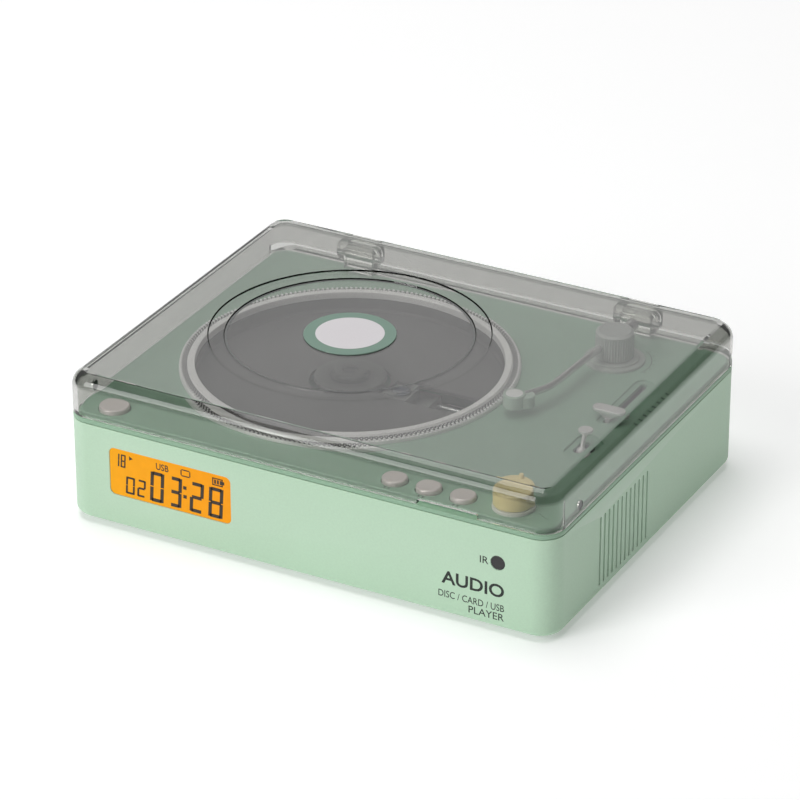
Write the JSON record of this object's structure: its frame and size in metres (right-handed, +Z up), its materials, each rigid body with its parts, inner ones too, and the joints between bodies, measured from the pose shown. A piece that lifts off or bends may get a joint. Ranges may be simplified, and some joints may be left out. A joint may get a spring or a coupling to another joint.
{
  "type": "portable cd player",
  "caption": "Box-shaped tabletop CD player with a hinged smoky clear lid, a disc well in a dotted ring, a small tonearm, deck controls and an amber display.",
  "frame": {"origin": "centre of the case on the surface it stands on, at the bottom of the feet", "axes": "+X to the right of the front, along the longest side; +Y to the back, where the lid's hinge is; +Z up"},
  "size_m": [0.22, 0.173, 0.066],
  "materials": {
    "case_mint": "fine satin moulded plastic, pale mint green",
    "deck_mint": "satin moulded plastic, mint green",
    "smoke_clear": "smoke-tinted clear plastic, polished",
    "charcoal": "satin black moulded plastic",
    "ring_metal": "satin metallised ring with a dotted band",
    "button_metal": "satin metallised plastic",
    "knob_cream": "satin cream plastic",
    "collar_grey": "pale grey plastic",
    "arm_metal": "polished metal tube",
    "post_grey": "grey-green knurled plastic",
    "lcd_amber": "amber back-lit display window",
    "lcd_glass": "liquid crystal panel",
    "diffuser": "milky light guide",
    "pcb": "green solder mask",
    "ir_black": "gloss black infrared filter",
    "chip_black": "black moulded component",
    "steel": "plated steel",
    "cone_black": "black paper cone",
    "frame_grey": "black plastic frame",
    "magnet": "plated magnet can",
    "cell_wrap": "heat-shrink wrap",
    "rubber_black": "soft black rubber",
    "brass": "turned brass",
    "lens": "coated lens",
    "badge": "printed green badge",
    "mesh_black": "black acoustic cloth"
  },
  "bodies": {
    "chassis": {"body_shell": "case_mint", "bottom_cover": "case_mint", "rubber_feet": "rubber_black", "case_screws": "steel", "top_deck": "deck_mint", "cd_bay": "charcoal", "strobe_ring": "ring_metal", "display_window": "lcd_amber", "lcd_panel": "lcd_glass", "display_backlight": "diffuser", "display_board": "pcb", "ir_window": "ir_black", "ir_receiver": "chip_black", "vent_screens": "mesh_black", "speaker_frame_left": "frame_grey", "speaker_frame_right": "frame_grey", "speaker_cones": "cone_black", "speaker_magnets": "magnet", "main_board": "pcb", "battery_pack": "cell_wrap", "usb_a_socket": "steel", "usb_c_socket": "steel", "card_socket": "steel", "audio_jack": "chip_black", "control_board": "pcb", "button_switches": "chip_black", "volume_encoder": "steel", "knob_collar": "collar_grey", "fader_track": "frame_grey", "toggle_housing": "frame_grey", "arm_flange": "post_grey", "arm_bearing": "steel", "drive_chassis": "steel", "drive_dampers": "rubber_black", "spindle_motor": "steel", "guide_rods": "steel", "sled_motor": "steel", "hinge_knuckles": "steel"},
    "lid": {"lid_cover": "smoke_clear", "hinge_ears": "smoke_clear", "hinge_pins": "steel", "lid_badge": "badge", "lid_bumpers": "rubber_black"},
    "tonearm": {"arm_post": "post_grey", "arm_tube": "arm_metal", "arm_headshell": "deck_mint", "arm_counterweight": "arm_metal"},
    "disc_hub": {"turntable_hub": "charcoal", "hub_balls": "steel"},
    "sled": {"pickup_sled": "charcoal"},
    "focus_lens": {"objective_lens": "lens"},
    "screw": {"lead_screw": "brass"},
    "knob": {"volume_knob": "knob_cream", "encoder_shaft": "steel"},
    "fader": {"fader_cap": "button_metal"},
    "toggle": {"toggle_lever": "button_metal"},
    "power": {"power_button": "button_metal"},
    "play": {"play_button": "button_metal"},
    "back": {"back_button": "button_metal"},
    "forward": {"forward_button": "button_metal"}
  },
  "joints": [
    {"name": "lid_hinge", "type": "hinge", "parent": "chassis", "child": "lid", "pos_m": [0, 0.0815, 0.056], "axis": [-1, 0, 0], "range_deg": [0, 85]},
    {"name": "arm_swing", "type": "hinge", "parent": "chassis", "child": "tonearm", "pos_m": [0.0674, 0.0553, 0.057], "axis": [0, 0, 1], "range_deg": [-24, 8]},
    {"name": "disc_spin", "type": "hinge", "parent": "chassis", "child": "disc_hub", "pos_m": [-0.026, 0, 0.0457], "axis": [0, 0, 1], "continuous": true},
    {"name": "screw_spin", "type": "hinge", "parent": "chassis", "child": "screw", "pos_m": [0.01, -0.019, 0.034], "axis": [1, 0, 0], "range_deg": [0, 1981]},
    {"name": "sled_slide", "type": "slide", "parent": "chassis", "child": "sled", "axis": [1, 0, 0], "range_m": [0, 0.033]},
    {"name": "focus", "type": "slide", "parent": "sled", "child": "focus_lens", "axis": [0, 0, 1], "range_m": [-0.0005, 0.0005], "stiffness_N_per_m": 20},
    {"name": "volume_turn", "type": "hinge", "parent": "chassis", "child": "knob", "pos_m": [0.0858, -0.0726, 0.053], "axis": [0, 0, -1], "range_deg": [-135, 135]},
    {"name": "fader_slide", "type": "slide", "parent": "chassis", "child": "fader", "axis": [0, 1, 0], "range_m": [0, 0.031]},
    {"name": "toggle_tilt", "type": "hinge", "parent": "chassis", "child": "toggle", "pos_m": [0.088, -0.018, 0.0466], "axis": [1, 0, 0], "range_deg": [0, 52]},
    {"name": "power_press", "type": "slide", "parent": "chassis", "child": "power", "axis": [0, 0, -1], "range_m": [0, 0.0008], "stiffness_N_per_m": 600, "springref_m": -0.0005},
    {"name": "play_press", "type": "slide", "parent": "chassis", "child": "play", "axis": [0, 0, -1], "range_m": [0, 0.0008], "stiffness_N_per_m": 600, "springref_m": -0.0005},
    {"name": "back_press", "type": "slide", "parent": "chassis", "child": "back", "axis": [0, 0, -1], "range_m": [0, 0.0008], "stiffness_N_per_m": 600, "springref_m": -0.0005},
    {"name": "forward_press", "type": "slide", "parent": "chassis", "child": "forward", "axis": [0, 0, -1], "range_m": [0, 0.0008], "stiffness_N_per_m": 600, "springref_m": -0.0005}
  ],
  "couplings": [
    {"joint": "screw_spin", "follows": "sled_slide", "rad_per_m": 1047.2}
  ]
}
